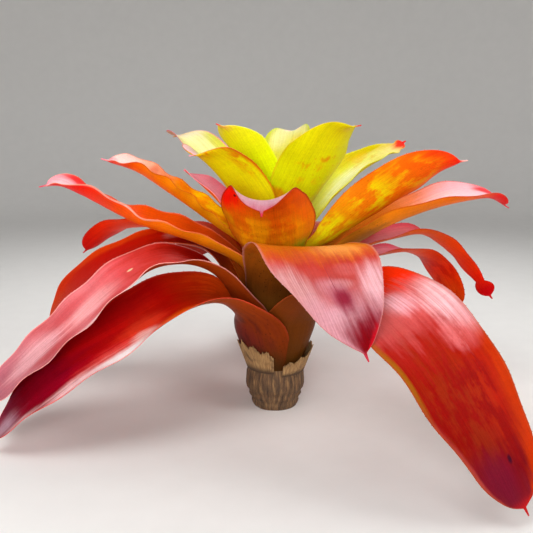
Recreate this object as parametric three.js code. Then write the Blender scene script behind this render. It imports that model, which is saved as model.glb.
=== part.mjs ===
// A neoregelia: a rosette of broad arching strap leaves round a short stem with a flat cut end.
// Millimetres, +Z up. The origin is the middle of the stem's cut face, and -Y is the front.
import * as THREE from 'three';
import { mergeVertices } from 'three/addons/utils/BufferGeometryUtils.js';

// Stem
const STEM_FOOT_RADIUS = 20;
const STEM_COLLAR_RADIUS = 27;
const STEM_COLLAR_HEIGHT = 22;
const STEM_TOP_HEIGHT = 108;
const STEM_SIDES = 24;
const SCAR_DEPTH = 0.7;
const SCAR_COUNT = 3;

// Where the leaves leave the stem: rank 0 is the lowest and outermost leaf
const LEAF_COUNT = 26;
const LOWEST_ROOT = { radius: 25, height: 40 };
const HIGHEST_ROOT = { radius: 5, height: 104 };
const ROOT_CLEARANCE = 0.9;

// The sheath, the part of each leaf that clasps the stem, is a piece of an upright cone
const SHEATH_SLOPES = [70, 82];
const SHEATH_LENGTHS = [50, 75];
const SHEATH_HALF_WIDTH = 42;
const SHEATH_WRAP = 60;

// The blade
const LEAF_THICKNESS = 0.9;
const MARGIN_THICKNESS = 0.6;
const SPINE_LENGTH = 8;
const SPINE_HALF_WIDTH = 1.8;
const SPINE_POINT = 0.5;
const HEADING_REACH = 40;
const SHEATH_ROWS = 4;
const BLADE_ROWS = 13;
const LEAF_COLUMNS = 6;

// Dry stubs of old leaves, which clasp the collar below the living leaves
const STUB_THICKNESS = 0.8;
const STUB_ROWS = 4;
const STUB_COLUMNS = 10;

const COLOURS = {
  outer: 0xb02a1e,
  middle: 0xdb6a1a,
  inner: 0xd8cc18,
  heart: 0xb9c428,
  stem: 0x6a5138,
  stub: 0xa98c60,
};

// Each path is the leaf's midrib past its sheath: azimuth in degrees, radius and height.
// Azimuth 0 is the right, 90 the back, 180 the left and 270 the front. The leaves go from the lowest
// and outermost inwards. cup is the half angle of the channel across the blade and roll its twist, both
// from root to tip. waist is the blade's width above the sheath as a share of its full width. taper is the
// share of the blade that narrows to the tip, and ends shapes it: a higher first value keeps the blade wide
// for longer, and a higher second value makes the tip sharper. knob is the radius of a rounded end past a
// narrow neck.
const LEAVES = [
  { group: 'outer', azimuth: 228,
    path: [[217, 62, 108], [211, 92, 109], [208, 122, 96], [206, 200, 56], [205, 252, 8]],
    width: 92, cup: [45, 33, 22, 18], roll: [0, 10, 13, 8], taper: 0.5, ends: [1.8, 0.6], waist: 0.82 },
  { group: 'outer', azimuth: 303,
    path: [[306, 80, 124], [306, 135, 128], [306, 185, 105], [307, 229, 59], [308, 265, 8]],
    width: 92, cup: [35, 14, 12, 12], roll: [0, -11, -8, -4], taper: 0.36, ends: [2.8, 0.5] },
  { group: 'outer', azimuth: 98,
    path: [[97, 80, 122], [96, 150, 114], [95, 205, 72], [95, 235, 30]],
    width: 74, cup: [40, 30, 20], roll: [0, 0] },
  { group: 'outer', azimuth: 34,
    path: [[34, 80, 122], [33, 125, 128], [32, 160, 127], [32, 196, 110], [31, 232, 56]],
    width: 44, cup: [40, 30, 25], roll: [0, 4, 16] },
  { group: 'outer', azimuth: 209,
    path: [[208, 62, 131], [202, 88, 141], [200, 118, 137], [199, 192, 81], [198, 254, 28]],
    width: 70, cup: [35, 30, 25, 20], roll: [-14, 6, 12, 8], waist: 0.78 },
  { group: 'outer', azimuth: 163,
    path: [[163, 58, 138], [164, 78, 147], [165, 105, 148], [167, 141, 136], [169, 195, 103], [170, 226, 62]],
    width: 68, cup: [35, 15, 18], roll: [0, 0, 16, 22, 16], waist: 0.5 },
  { group: 'outer', azimuth: 14,
    path: [[14, 75, 142], [15, 115, 152], [15, 145, 153], [16, 185, 128], [16, 226, 84]],
    width: 48, cup: [45, 35, 30], roll: [0, -3, -6, -2, 2, 6, 12, 30, 60], taper: 0.55, ends: [1.3, 0.8],
    knob: 10 },
  { group: 'outer', azimuth: 115,
    path: [[115, 80, 146], [115, 160, 140], [115, 215, 98]],
    width: 66, cup: [40, 25, 20], roll: [0, 0], waist: 0.65 },
  { group: 'outer', azimuth: 279,
    path: [[281, 66, 151], [284, 108, 166], [286, 148, 144], [289, 186, 102]],
    width: 94, cup: [40, 12, 8, 10], roll: [0, 3, 3], taper: 0.5, ends: [2.4, 0.75] },
  { group: 'outer', azimuth: 150,
    path: [[150, 70, 152], [150, 105, 159], [150, 142, 156], [150, 194, 147], [151, 230, 121]],
    width: 38, cup: [50, 35, 25], roll: [0, -8, -18, -22], waist: 0.75 },
  { group: 'outer', azimuth: 70,
    path: [[70, 80, 152], [70, 150, 148], [70, 215, 110]],
    width: 68, cup: [40, 30, 20], roll: [0, 0] },
  { group: 'middle', azimuth: 352,
    path: [[356, 62, 146], [360, 110, 172], [362, 165, 190], [363, 192, 191], [364, 212, 181]],
    width: 70, cup: [55, 50, 42, 30], roll: [0, 9, 4, -6, -2], taper: 0.36 },
  { group: 'middle', azimuth: 204,
    path: [[196, 70, 155], [190, 125, 175], [188, 166, 197], [187, 185, 206], [187, 202, 204]],
    width: 64, cup: [60, 50, 38, 30], roll: [0, 2, 0, -12, 22], taper: 0.32 },
  { group: 'middle', azimuth: 96,
    path: [[96, 70, 165], [96, 125, 178], [96, 175, 170]],
    width: 62, cup: [50, 35, 20], roll: [0, 0], waist: 0.65 },
  { group: 'middle', azimuth: 263,
    path: [[262, 42, 151], [262, 54, 167], [262, 76, 191], [263, 91, 200], [264, 112, 191]],
    width: 90, cup: [60, 52, 52, 34], roll: [0, 0], taper: 0.6, ends: [1.4, 0.45] },
  { group: 'middle', azimuth: 346,
    path: [[348, 50, 156], [347, 80, 181], [347, 112, 205], [347, 140, 222], [347, 162, 227]],
    width: 63, cup: [70, 55, 40, 35], roll: [10, 35, 35], taper: 0.4, ends: [2.6, 0.75], waist: 0.68 },
  { group: 'middle', azimuth: 178,
    path: [[176, 60, 172], [177, 97, 198], [178, 124, 216], [179, 153, 226]],
    width: 60, cup: [55, 50, 38], roll: [0, 2, -2, 0, 14], taper: 0.34 },
  { group: 'inner', azimuth: 44,
    path: [[42, 60, 183], [41, 94, 206], [41, 136, 224], [41, 158, 229], [41, 179, 237]],
    width: 52, cup: [55, 45, 25], roll: [0, 0, 0, -10, -50], taper: 0.45,
    ends: [1.6, 0.9], knob: 6 },
  { group: 'middle', azimuth: 148,
    path: [[148, 52, 180], [148, 82, 202], [148, 102, 212]],
    width: 47, cup: [55, 35, 20], roll: [0, -8, -16] },
  { group: 'inner', azimuth: 137,
    path: [[138, 44, 196], [138, 84, 223], [137, 120, 243], [137, 138, 242]],
    width: 54, cup: [60, 45, 25], roll: [0, 0], waist: 0.6 },
  { group: 'inner', azimuth: 226,
    path: [[228, 36, 186], [228, 64, 218], [228, 86, 232], [228, 101, 233]],
    width: 62, cup: [65, 50, 30], roll: [0, 0] },
  { group: 'inner', azimuth: 76,
    path: [[76, 34, 189], [77, 57, 224], [78, 80, 247], [78, 94, 247]],
    width: 54, cup: [65, 48, 40], roll: [0, 6, 12], taper: 0.3, waist: 0.65 },
  { group: 'inner', azimuth: 312,
    path: [[312, 33, 189], [311, 48, 209], [308, 68, 235], [308, 84, 252], [311, 98, 256]],
    width: 76, cup: [70, 48, 30], roll: [0, 0], taper: 0.34, ends: [2.0, 0.7] },
  { group: 'inner', azimuth: 234,
    path: [[234, 20, 195], [234, 36, 220], [234, 52, 238], [234, 68, 252], [234, 80, 257]],
    width: 50, cup: [75, 55, 40], roll: [0, 0], taper: 0.3, ends: [1.8, 0.7] },
  { group: 'heart', azimuth: 20,
    path: [[20, 18, 185], [20, 24, 205], [20, 30, 212]],
    width: 26, cup: [75, 60, 50], roll: [0, 0], sheath: 60 },
  { group: 'heart', azimuth: 165,
    path: [[165, 13, 180], [165, 16, 196], [165, 21, 206]],
    width: 18, cup: [80, 70, 55], roll: [0, 0], sheath: 60 },
];

// Dry stubs, each one rank below the last: azimuth and height of the torn top above the root
const STUBS = [
  { azimuth: 215, height: 30 },
  { azimuth: 335, height: 24 },
  { azimuth: 95, height: 26 },
];

const radians = THREE.MathUtils.degToRad;
const clamp = THREE.MathUtils.clamp;
const smooth = (x) => THREE.MathUtils.smoothstep(x, 0, 1);
const blend = THREE.MathUtils.lerp;

function point(azimuth, radius, height) {
  return new THREE.Vector3(radius * Math.cos(radians(azimuth)), radius * Math.sin(radians(azimuth)), height);
}

// Value of a row of numbers that are evenly spaced from root to tip, by a smooth curve through them
function along(values, u) {
  const points = values.map((v) => new THREE.Vector3(v, 0, 0));
  const curve = new THREE.CatmullRomCurve3(points, false, 'catmullrom', 0.5);
  return curve.getPoint(clamp(u, 0, 1)).x;
}

function rootOf(rank) {
  const f = rank / (LEAF_COUNT - 1);
  return {
    radius: blend(LOWEST_ROOT.radius, HIGHEST_ROOT.radius, f),
    height: blend(LOWEST_ROOT.height, HIGHEST_ROOT.height, f),
    slope: radians(blend(...SHEATH_SLOPES, f)),
    sheath: blend(...SHEATH_LENGTHS, f),
  };
}

function sheathPoint(rank, azimuth, distance) {
  const { radius, height, slope } = rootOf(rank);
  return point(azimuth, radius + distance * Math.cos(slope), height + distance * Math.sin(slope));
}

// The horizontal direction in which the leaf heads at a distance along its midrib
function headingAt(midrib, length, sheath, distance) {
  const here = midrib.getPointAt(distance / length);
  const outward = new THREE.Vector3(here.x, here.y, 0).normalize();
  const ahead = midrib.getPointAt(Math.min(1, (distance + HEADING_REACH) / length));
  const behind = midrib.getPointAt(Math.max(0, (distance - HEADING_REACH) / length));
  const course = ahead.sub(behind).setZ(0).normalize();
  return outward.lerp(course, smooth((distance / sheath - 0.6) / 0.8)).normalize();
}

// Half the width of the blade at share u of its length
function bladeHalfWidth(leaf, u, bladeLength) {
  const taper = leaf.taper ?? 0.16;
  const [fullness, sharpness] = leaf.ends ?? [2.2, 0.5];
  const spine = SPINE_LENGTH / bladeLength;
  const body = blend(leaf.waist ?? 0.72, 1, smooth(u / 0.45)) * (1 - 0.1 * smooth((u - 0.5) / 0.5));
  const q = clamp((u - (1 - taper)) / (taper - 0.8 * spine), 0, 1);
  const tip = Math.max(0, 1 - q ** fullness) ** sharpness;
  const spineHalf = SPINE_POINT + (SPINE_HALF_WIDTH - SPINE_POINT) * clamp((1 - u) / spine, 0, 1);
  const knob = leaf.knob ?? 0;
  const offset = (1 - u) * bladeLength - knob - 0.6 * SPINE_LENGTH;
  const knobHalf = Math.sqrt(Math.max(0, knob ** 2 - offset ** 2));
  return Math.max((leaf.width / 2) * body * tip, spineHalf, knobHalf);
}

// Distances along the midrib of the rows of a leaf, closer together towards its tip
function rowDistances(sheath, bladeLength, knob) {
  const rows = [];
  for (let i = 0; i < SHEATH_ROWS; i += 1) {
    rows.push((sheath * i) / SHEATH_ROWS);
  }
  for (let i = 0; i < BLADE_ROWS; i += 1) {
    const x = i / BLADE_ROWS;
    rows.push(sheath + bladeLength * 0.5 * (x + Math.sin((Math.PI / 2) * x)));
  }
  const end = sheath + bladeLength;
  if (knob) {
    const spread = [2.4, 2, 1.7, 1, 0.3].map((k) => end - 0.6 * SPINE_LENGTH - knob * k);
    return [...rows.filter((row) => row < spread[0] - 2), ...spread, end];
  }
  return [...rows, end - SPINE_LENGTH, end].sort((a, b) => a - b);
}

// The middle surface of a leaf as rows of points from its root to its tip
function leafSurface(leaf, rank) {
  const sheath = leaf.sheath ?? rootOf(rank).sheath;
  const clasp = [0, 1, 2, 3].map((i) => sheathPoint(rank, leaf.azimuth, (sheath * i) / 3));
  const midrib = new THREE.CatmullRomCurve3([...clasp, ...leaf.path.map((p) => point(...p))]);
  midrib.arcLengthDivisions = 800;
  const length = midrib.getLength();
  const bladeLength = length - sheath;
  return rowDistances(sheath, bladeLength, leaf.knob).map((distance) => {
    const u = (distance - sheath) / bladeLength;
    const v = distance / sheath;
    const centre = midrib.getPointAt(distance / length);
    const tangent = midrib.getTangentAt(distance / length);
    const heading = headingAt(midrib, length, sheath, distance);
    const side = new THREE.Vector3(heading.y, -heading.x, 0);
    side.addScaledVector(tangent, -side.dot(tangent)).normalize();
    const up = new THREE.Vector3().crossVectors(side, tangent);
    const roll = radians(along(leaf.roll, u)) * smooth(u / 0.25 + 0.2);
    const across = side.clone().multiplyScalar(Math.cos(roll)).addScaledVector(up, Math.sin(roll));
    const over = up.clone().multiplyScalar(Math.cos(roll)).addScaledVector(side, -Math.sin(roll));
    const inward = heading.clone().negate();
    const normal = inward.lerp(over, smooth((v - 0.6) / 0.8)).normalize();
    const radius = Math.hypot(centre.x, centre.y);
    const claspHalf = Math.min(SHEATH_HALF_WIDTH, radians(SHEATH_WRAP) * radius);
    const half = blend(claspHalf, bladeHalfWidth(leaf, u, bladeLength), smooth((v - 0.5) / 0.7));
    const cup = radians(along(leaf.cup, u));
    const angle = blend(half / radius, cup, smooth((v - 0.8) / 0.9));
    const bend = half / angle;
    const row = [];
    for (let j = 0; j <= LEAF_COLUMNS; j += 1) {
      const a = angle * ((2 * j) / LEAF_COLUMNS - 1);
      row.push(centre.clone()
        .addScaledVector(across, bend * Math.sin(a))
        .addScaledVector(normal, bend * (1 - Math.cos(a))));
    }
    return row;
  });
}

// A closed sheet round a surface of rows and columns, split into triangles alike on both faces
function sheet(rows, thicknessAt) {
  const last = rows.length - 1;
  const columns = rows[0].length;
  const normalAt = (i, j) => {
    const lengthwise = rows[Math.min(last, i + 1)][j].clone().sub(rows[Math.max(0, i - 1)][j]);
    const crosswise = rows[i][Math.min(columns - 1, j + 1)].clone().sub(rows[i][Math.max(0, j - 1)]);
    return crosswise.cross(lengthwise).normalize();
  };
  const positions = [];
  [1, -1].forEach((face) => {
    rows.forEach((row, i) => row.forEach((p, j) => {
      const t = (2 * j) / (columns - 1) - 1;
      const q = p.clone().addScaledVector(normalAt(i, j), face * 0.5 * thicknessAt(t));
      positions.push(q.x, q.y, q.z);
    }));
  });
  const bottom = rows.length * columns;
  const at = (i, j) => i * columns + j;
  const triangles = [];
  const quad = (a, b, c, d) => triangles.push(a, b, c, a, c, d);
  for (let i = 0; i < last; i += 1) {
    for (let j = 0; j < columns - 1; j += 1) {
      const [a, b, c, d] = [at(i, j), at(i, j + 1), at(i + 1, j + 1), at(i + 1, j)];
      triangles.push(a, b, c, a, c, d);
      triangles.push(bottom + a, bottom + c, bottom + b, bottom + a, bottom + d, bottom + c);
    }
  }
  for (let i = 0; i < last; i += 1) {
    const right = columns - 1;
    quad(at(i, 0), at(i + 1, 0), bottom + at(i + 1, 0), bottom + at(i, 0));
    quad(at(i + 1, right), at(i, right), bottom + at(i, right), bottom + at(i + 1, right));
  }
  for (let j = 0; j < columns - 1; j += 1) {
    quad(at(0, j + 1), at(0, j), bottom + at(0, j), bottom + at(0, j + 1));
    quad(at(last, j), at(last, j + 1), bottom + at(last, j + 1), bottom + at(last, j));
  }
  const geometry = new THREE.BufferGeometry();
  geometry.setAttribute('position', new THREE.Float32BufferAttribute(positions, 3));
  geometry.setIndex(triangles);
  return geometry;
}

function leafThickness(t) {
  return blend(LEAF_THICKNESS, MARGIN_THICKNESS, t * t);
}

// A torn sheath below the leaves, with a ragged top edge
function stubSurface(stub, index) {
  const rank = -1 - index;
  const rows = [];
  for (let i = 0; i <= STUB_ROWS; i += 1) {
    const row = [];
    for (let j = 0; j <= STUB_COLUMNS; j += 1) {
      const t = (2 * j) / STUB_COLUMNS - 1;
      const tear = 0.72 + 0.2 * Math.cos(1.9 * t + index) + (j % 2 ? 0.14 : -0.06) * (1 - 0.4 * t * t);
      const distance = stub.height * tear * (i / STUB_ROWS);
      row.push(sheathPoint(rank, stub.azimuth - t * (SHEATH_WRAP - 8), distance));
    }
    rows.push(row);
  }
  return rows;
}

// The short stem: a flat cut foot, ringed scars of lost leaves, a collar and a cone inside the sheaths
function stemGeometry() {
  const profile = [new THREE.Vector2(0, 0), new THREE.Vector2(STEM_FOOT_RADIUS, 0)];
  for (let i = 1; i <= SCAR_COUNT * 2; i += 1) {
    const f = i / (SCAR_COUNT * 2);
    const ring = i % 2 ? SCAR_DEPTH : -SCAR_DEPTH;
    profile.push(new THREE.Vector2(
      blend(STEM_FOOT_RADIUS, STEM_COLLAR_RADIUS, f) + (i < SCAR_COUNT * 2 ? ring : 0),
      STEM_COLLAR_HEIGHT * f,
    ));
  }
  [-STUBS.length, 0, LEAF_COUNT - 1].forEach((rank) => {
    const root = rootOf(rank);
    profile.push(new THREE.Vector2(root.radius - ROOT_CLEARANCE, root.height));
  });
  profile.push(new THREE.Vector2(0, STEM_TOP_HEIGHT));
  const lathe = new THREE.LatheGeometry(profile, STEM_SIDES);
  lathe.deleteAttribute('normal');
  lathe.deleteAttribute('uv');
  const stem = mergeVertices(lathe);
  stem.rotateX(Math.PI / 2);
  return stem;
}

function addMesh(group, name, geometry, kind, roughness) {
  const material = new THREE.MeshStandardMaterial({
    color: COLOURS[kind],
    roughness,
    metalness: 0,
    flatShading: true,
  });
  const mesh = new THREE.Mesh(geometry, material);
  mesh.name = name;
  group.add(mesh);
}

const plant = new THREE.Group();
addMesh(plant, 'stem', stemGeometry(), 'stem', 0.8);
STUBS.forEach((stub, index) => {
  addMesh(plant, `dry_stub_${index + 1}`, sheet(stubSurface(stub, index), () => STUB_THICKNESS), 'stub', 0.9);
});
LEAVES.forEach((leaf, rank) => {
  const number = String(rank + 1).padStart(2, '0');
  const geometry = sheet(leafSurface(leaf, rank), leafThickness);
  addMesh(plant, `${leaf.group}_leaf_${number}`, geometry, leaf.group, 0.4);
});

export default plant;
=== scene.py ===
"""The looks of a neoregelia: its leaves, dry stubs and stem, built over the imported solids."""
import math

import bpy
import numpy as np
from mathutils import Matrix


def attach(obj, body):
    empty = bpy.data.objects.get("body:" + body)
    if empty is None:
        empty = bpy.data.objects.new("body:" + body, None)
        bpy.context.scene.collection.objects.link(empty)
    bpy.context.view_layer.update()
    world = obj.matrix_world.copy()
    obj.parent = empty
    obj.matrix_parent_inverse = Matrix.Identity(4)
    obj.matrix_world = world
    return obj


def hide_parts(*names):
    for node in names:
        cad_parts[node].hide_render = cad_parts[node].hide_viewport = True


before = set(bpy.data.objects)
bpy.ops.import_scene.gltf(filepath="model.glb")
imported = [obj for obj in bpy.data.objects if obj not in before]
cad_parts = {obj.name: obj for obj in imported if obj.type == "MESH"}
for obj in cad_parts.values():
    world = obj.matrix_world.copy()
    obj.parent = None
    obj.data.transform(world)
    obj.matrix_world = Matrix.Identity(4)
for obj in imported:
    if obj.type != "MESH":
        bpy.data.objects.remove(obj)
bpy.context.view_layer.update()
scene = bpy.context.scene
MM = 0.001

# The solids' named values, repeated from part.mjs, in millimetres and degrees
STEM_FOOT_RADIUS = 20
STEM_COLLAR_RADIUS = 27
STEM_COLLAR_HEIGHT = 22
STEM_TOP_HEIGHT = 108
SCAR_DEPTH = 0.7
SCAR_COUNT = 3
LEAF_COUNT = 26
LOWEST_ROOT = (25, 40)
HIGHEST_ROOT = (5, 104)
ROOT_CLEARANCE = 0.9
SHEATH_SLOPES = (70, 82)
SHEATH_LENGTHS = (50, 75)
SHEATH_HALF_WIDTH = 42
SHEATH_WRAP = 60
LEAF_THICKNESS = 0.9
SPINE_LENGTH = 8
SPINE_HALF_WIDTH = 1.8
SPINE_POINT = 0.5
HEADING_REACH = 40
STUB_THICKNESS = 0.8
STUB_WRAP = SHEATH_WRAP - 8

# The dry stubs, as in part.mjs: azimuth and height of the torn top above the root
STUBS = [(215, 30), (335, 24), (95, 26)]

# The leaves, as in part.mjs. Each path is the midrib past the sheath: azimuth, radius and height. cup is the
# half angle of the channel across the blade and roll its twist, both from root to tip. waist is the share of
# the full width above the sheath, taper and ends shape the tip, and knob is the radius of a rounded end.
LEAVES = [
    dict(group="outer", azimuth=228,
         path=[[217, 62, 108], [211, 92, 109], [208, 122, 96], [206, 200, 56], [205, 252, 8]],
         width=92, cup=[45, 33, 22, 18], roll=[0, 10, 13, 8], taper=0.5, ends=[1.8, 0.6], waist=0.82),
    dict(group="outer", azimuth=303,
         path=[[306, 80, 124], [306, 135, 128], [306, 185, 105], [307, 229, 59], [308, 265, 8]],
         width=92, cup=[35, 14, 12, 12], roll=[0, -11, -8, -4], taper=0.36, ends=[2.8, 0.5]),
    dict(group="outer", azimuth=98,
         path=[[97, 80, 122], [96, 150, 114], [95, 205, 72], [95, 235, 30]],
         width=74, cup=[40, 30, 20]),
    dict(group="outer", azimuth=34,
         path=[[34, 80, 122], [33, 125, 128], [32, 160, 127], [32, 196, 110], [31, 232, 56]],
         width=44, cup=[40, 30, 25], roll=[0, 4, 16]),
    dict(group="outer", azimuth=209,
         path=[[208, 62, 131], [202, 88, 141], [200, 118, 137], [199, 192, 81], [198, 254, 28]],
         width=70, cup=[35, 30, 25, 20], roll=[-14, 6, 12, 8], waist=0.78),
    dict(group="outer", azimuth=163,
         path=[[163, 58, 138], [164, 78, 147], [165, 105, 148], [167, 141, 136], [169, 195, 103],
               [170, 226, 62]],
         width=68, cup=[35, 15, 18], roll=[0, 0, 16, 22, 16], waist=0.5),
    dict(group="outer", azimuth=14,
         path=[[14, 75, 142], [15, 115, 152], [15, 145, 153], [16, 185, 128], [16, 226, 84]],
         width=48, cup=[45, 35, 30], roll=[0, -3, -6, -2, 2, 6, 12, 30, 60], taper=0.55, ends=[1.3, 0.8],
         knob=10),
    dict(group="outer", azimuth=115,
         path=[[115, 80, 146], [115, 160, 140], [115, 215, 98]],
         width=66, cup=[40, 25, 20], waist=0.65),
    dict(group="outer", azimuth=279,
         path=[[281, 66, 151], [284, 108, 166], [286, 148, 144], [289, 186, 102]],
         width=94, cup=[40, 12, 8, 10], roll=[0, 3, 3], taper=0.5, ends=[2.4, 0.75]),
    dict(group="outer", azimuth=150,
         path=[[150, 70, 152], [150, 105, 159], [150, 142, 156], [150, 194, 147], [151, 230, 121]],
         width=38, cup=[50, 35, 25], roll=[0, -8, -18, -22], waist=0.75),
    dict(group="outer", azimuth=70,
         path=[[70, 80, 152], [70, 150, 148], [70, 215, 110]],
         width=68, cup=[40, 30, 20]),
    dict(group="middle", azimuth=352,
         path=[[356, 62, 146], [360, 110, 172], [362, 165, 190], [363, 192, 191], [364, 212, 181]],
         width=70, cup=[55, 50, 42, 30], roll=[0, 9, 4, -6, -2], taper=0.36),
    dict(group="middle", azimuth=204,
         path=[[196, 70, 155], [190, 125, 175], [188, 166, 197], [187, 185, 206], [187, 202, 204]],
         width=64, cup=[60, 50, 38, 30], roll=[0, 2, 0, -12, 22], taper=0.32),
    dict(group="middle", azimuth=96,
         path=[[96, 70, 165], [96, 125, 178], [96, 175, 170]],
         width=62, cup=[50, 35, 20], waist=0.65),
    dict(group="middle", azimuth=263,
         path=[[262, 42, 151], [262, 54, 167], [262, 76, 191], [263, 91, 200], [264, 112, 191]],
         width=90, cup=[60, 52, 52, 34], taper=0.6, ends=[1.4, 0.45]),
    dict(group="middle", azimuth=346,
         path=[[348, 50, 156], [347, 80, 181], [347, 112, 205], [347, 140, 222], [347, 162, 227]],
         width=63, cup=[70, 55, 40, 35], roll=[10, 35, 35], taper=0.4, ends=[2.6, 0.75], waist=0.68),
    dict(group="middle", azimuth=178,
         path=[[176, 60, 172], [177, 97, 198], [178, 124, 216], [179, 153, 226]],
         width=60, cup=[55, 50, 38], roll=[0, 2, -2, 0, 14], taper=0.34),
    dict(group="inner", azimuth=44,
         path=[[42, 60, 183], [41, 94, 206], [41, 136, 224], [41, 158, 229], [41, 179, 237]],
         width=52, cup=[55, 45, 25], roll=[0, 0, 0, -10, -50], taper=0.45, ends=[1.6, 0.9], knob=6),
    dict(group="middle", azimuth=148,
         path=[[148, 52, 180], [148, 82, 202], [148, 102, 212]],
         width=47, cup=[55, 35, 20], roll=[0, -8, -16]),
    dict(group="inner", azimuth=137,
         path=[[138, 44, 196], [138, 84, 223], [137, 120, 243], [137, 138, 242]],
         width=54, cup=[60, 45, 25], waist=0.6),
    dict(group="inner", azimuth=226,
         path=[[228, 36, 186], [228, 64, 218], [228, 86, 232], [228, 101, 233]],
         width=62, cup=[65, 50, 30]),
    dict(group="inner", azimuth=76,
         path=[[76, 34, 189], [77, 57, 224], [78, 80, 247], [78, 94, 247]],
         width=54, cup=[65, 48, 40], roll=[0, 6, 12], taper=0.3, waist=0.65),
    dict(group="inner", azimuth=312,
         path=[[312, 33, 189], [311, 48, 209], [308, 68, 235], [308, 84, 252], [311, 98, 256]],
         width=76, cup=[70, 48, 30], taper=0.34, ends=[2.0, 0.7]),
    dict(group="inner", azimuth=234,
         path=[[234, 20, 195], [234, 36, 220], [234, 52, 238], [234, 68, 252], [234, 80, 257]],
         width=50, cup=[75, 55, 40], taper=0.3, ends=[1.8, 0.7]),
    dict(group="heart", azimuth=20,
         path=[[20, 18, 185], [20, 24, 205], [20, 30, 212]],
         width=26, cup=[75, 60, 50], sheath=60),
    dict(group="heart", azimuth=165,
         path=[[165, 13, 180], [165, 16, 196], [165, 21, 206]],
         width=18, cup=[80, 70, 55], sheath=60),
]

# The shape of a leaf where LEAVES gives none
LEAF_DEFAULTS = dict(roll=[0, 0], taper=0.16, ends=(2.2, 0.5), waist=0.72, knob=0)

# Where the leaf's facing, width and channel change from sheath to blade: start and stretch in sheath lengths
FACING_CHANGE = (0.6, 0.8)
WIDTH_CHANGE = (0.5, 0.7)
CHANNEL_CHANGE = (0.8, 0.9)

# Where the blade's twist, widening and narrowing set in: start and stretch in shares of the blade
ROLL_CHANGE = (-0.05, 0.25)
WAIST_CHANGE = (0, 0.45)
NARROWING_CHANGE = (0.5, 0.5)
NARROWING = 0.1

# Where the taper and the knob end, in spine lengths from the leaf's end
TAPER_END = 0.8
KNOB_END = 0.6

# How finely the pieces are made
SHEATH_ROWS = 14
BLADE_ROWS = 84
LEAF_COLUMNS = 26
CURVE_STEPS = 160
TANGENT_REACH = 0.3
STUB_ROWS = 26
STUB_COLUMNS = 96
STEM_SIDES = 120
STEM_RINGS = 60

# What the solids leave out, in millimetres: thinner margins, their teeth, waves and folds
MARGIN_THICKNESS = 0.45
TOOTH_SPACING = 6.5
TOOTH_REACH = 0.9
TOOTH_LEAN = 0.9
TOOTH_HALF_LENGTH = 0.7
TOOTH_HALF_THICKNESS = 0.22
TOOTH_DEPTH = 0.25
TOOTHLESS_END = 2.5 * SPINE_LENGTH
WAVE_HEIGHT = 1.1
WAVE_LENGTH = 46
FOLD_HEIGHT = 0.04
FOLD_LENGTHS = (11, 18.7)

# How strong the longer folds are, and where on the blade waves and folds set in and end, as above
SECOND_FOLD = 0.6
WAVE_START = (0.12, 0.2)
WAVE_END = (0.87, 0.1)


def ease(x, start, stretch):
    """Rises smoothly from 0 at the start to 1 a stretch later."""
    x = np.clip((x - start) / stretch, 0, 1)
    return x * x * (3 - 2 * x)


def blend(a, b, f):
    return a + (b - a) * f


def between(x, low, high, a, b):
    """The value at x of the line that is a at low and b at high."""
    return (high - x) / (high - low) * a + (x - low) / (high - low) * b


def point(azimuth, radius, height):
    a = math.radians(azimuth)
    return np.array([radius * math.cos(a), radius * math.sin(a), height])


def unit(v):
    return v / np.maximum(np.linalg.norm(v, axis=-1, keepdims=True), 1e-9)


def along(values, u):
    """Values evenly spaced from root to tip, by a smooth curve through them."""
    v = np.array(values, float)
    v = np.concatenate([[2 * v[0] - v[1]], v, [2 * v[-1] - v[-2]]])
    x = np.clip(u, 0, 1) * (len(v) - 3)
    i = np.minimum(np.floor(x).astype(int), len(v) - 4)
    f = x - i
    a, b, c, d = v[i], v[i + 1], v[i + 2], v[i + 3]
    return 0.5 * (2 * b + (c - a) * f + (2 * a - 5 * b + 4 * c - d) * f**2 + (3 * b - a - 3 * c + d) * f**3)


class Midrib:
    """A smooth curve through points, read by the distance along it."""

    def __init__(self, points):
        p = np.array(points, float)
        p = np.vstack([2 * p[0] - p[1], p, 2 * p[-1] - p[-2]])
        knots = np.concatenate([[0], np.cumsum(np.sqrt(np.linalg.norm(np.diff(p, axis=0), axis=1)))])
        spans = []
        for i in range(1, len(p) - 2):
            t0, t1, t2, t3 = knots[i - 1:i + 3]
            t = np.linspace(t1, t2, CURVE_STEPS, endpoint=(i == len(p) - 3))[:, None]
            a1 = between(t, t0, t1, p[i - 1], p[i])
            a2 = between(t, t1, t2, p[i], p[i + 1])
            a3 = between(t, t2, t3, p[i + 1], p[i + 2])
            spans.append(between(t, t1, t2, between(t, t0, t2, a1, a2), between(t, t1, t3, a2, a3)))
        self.points = np.vstack(spans)
        steps = np.linalg.norm(np.diff(self.points, axis=0), axis=1)
        self.distances = np.concatenate([[0], np.cumsum(steps)])
        self.length = self.distances[-1]

    def at(self, distance):
        """The point at a distance. Past the ends, it is the nearer end."""
        return np.stack([np.interp(distance, self.distances, self.points[:, k]) for k in range(3)], -1)

    def course(self, distance, reach):
        """From the point a reach before a distance to the one a reach past it."""
        return self.at(distance + reach) - self.at(distance - reach)


def root_of(rank):
    """The radius and height of a leaf's root, and the slope and length of its sheath."""
    f = rank / (LEAF_COUNT - 1)
    radius, height = (blend(a, b, f) for a, b in zip(LOWEST_ROOT, HIGHEST_ROOT))
    return radius, height, math.radians(blend(*SHEATH_SLOPES, f)), blend(*SHEATH_LENGTHS, f)


def sheath_point(rank, azimuth, distance):
    radius, height, slope, _ = root_of(rank)
    return point(azimuth, radius + distance * math.cos(slope), height + distance * math.sin(slope))


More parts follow.
